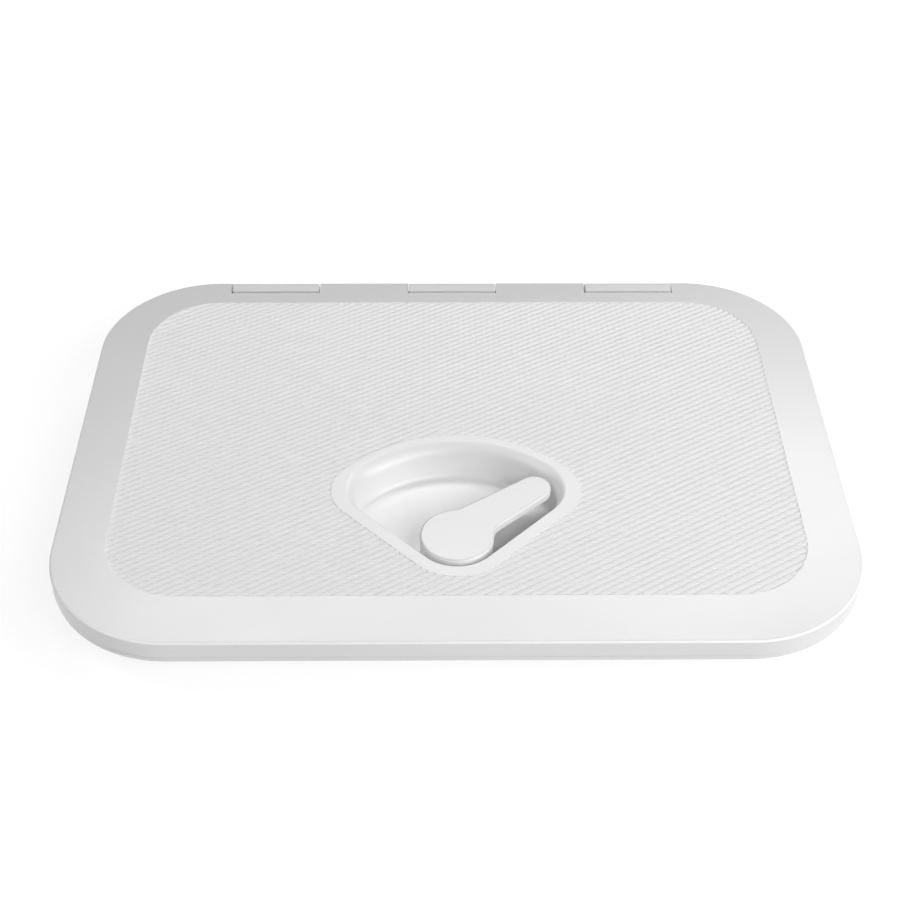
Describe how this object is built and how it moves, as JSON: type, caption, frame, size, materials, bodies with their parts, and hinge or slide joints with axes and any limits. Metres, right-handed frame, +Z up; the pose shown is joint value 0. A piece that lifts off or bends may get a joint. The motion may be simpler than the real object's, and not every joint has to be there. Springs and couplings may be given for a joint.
{
  "type": "deck hatch",
  "caption": "White moulded deck access hatch with a hinged anti-slip lid and a flush quarter-turn latch handle in a fan-shaped hand pocket.",
  "frame": {"origin": "under the middle of the hatch in plan, level with the lower edge of the coaming; the deck seat of the flange is 25 mm above it", "axes": "+Z up out of the deck; +X along the hinge line; +Y towards the hinges, so the lever is on the -Y side"},
  "size_m": [0.375, 0.27, 0.038],
  "materials": {
    "white_plastic": "satin white moulded plastic, fine moulded grain",
    "seal_rubber": "matt black rubber",
    "stainless": "stainless steel, lightly brushed",
    "white_nylon": "natural nylon",
    "black_nylon": "black glass-filled nylon"
  },
  "bodies": {
    "frame": {"frame": "white_plastic", "hinge_block_left": "white_plastic", "hinge_block_centre": "white_plastic", "hinge_block_right": "white_plastic", "hinge_pin_left": "stainless", "hinge_pin_centre": "stainless", "hinge_pin_right": "stainless", "hinge_screw_left_a": "stainless", "hinge_screw_left_b": "stainless", "hinge_screw_centre_a": "stainless", "hinge_screw_centre_b": "stainless", "hinge_screw_right_a": "stainless", "hinge_screw_right_b": "stainless"},
    "lid": {"lid": "white_plastic", "lid_gasket": "seal_rubber"},
    "handle": {"handle_lever": "white_plastic", "spindle_o_ring": "seal_rubber", "thrust_washer": "white_nylon", "latch_cam": "black_nylon", "cam_washer": "stainless", "cam_screw": "stainless"}
  },
  "joints": [
    {"name": "lid_hinge", "type": "hinge", "parent": "frame", "child": "lid", "pos_m": [0, 0.1304, 0.0329], "axis": [-1, 0, 0], "range_deg": [0, 105]},
    {"name": "handle_turn", "type": "hinge", "parent": "lid", "child": "handle", "pos_m": [0, -0.068, 0.0373], "axis": [0, 0, 1], "range_deg": [0, 98]}
  ]
}
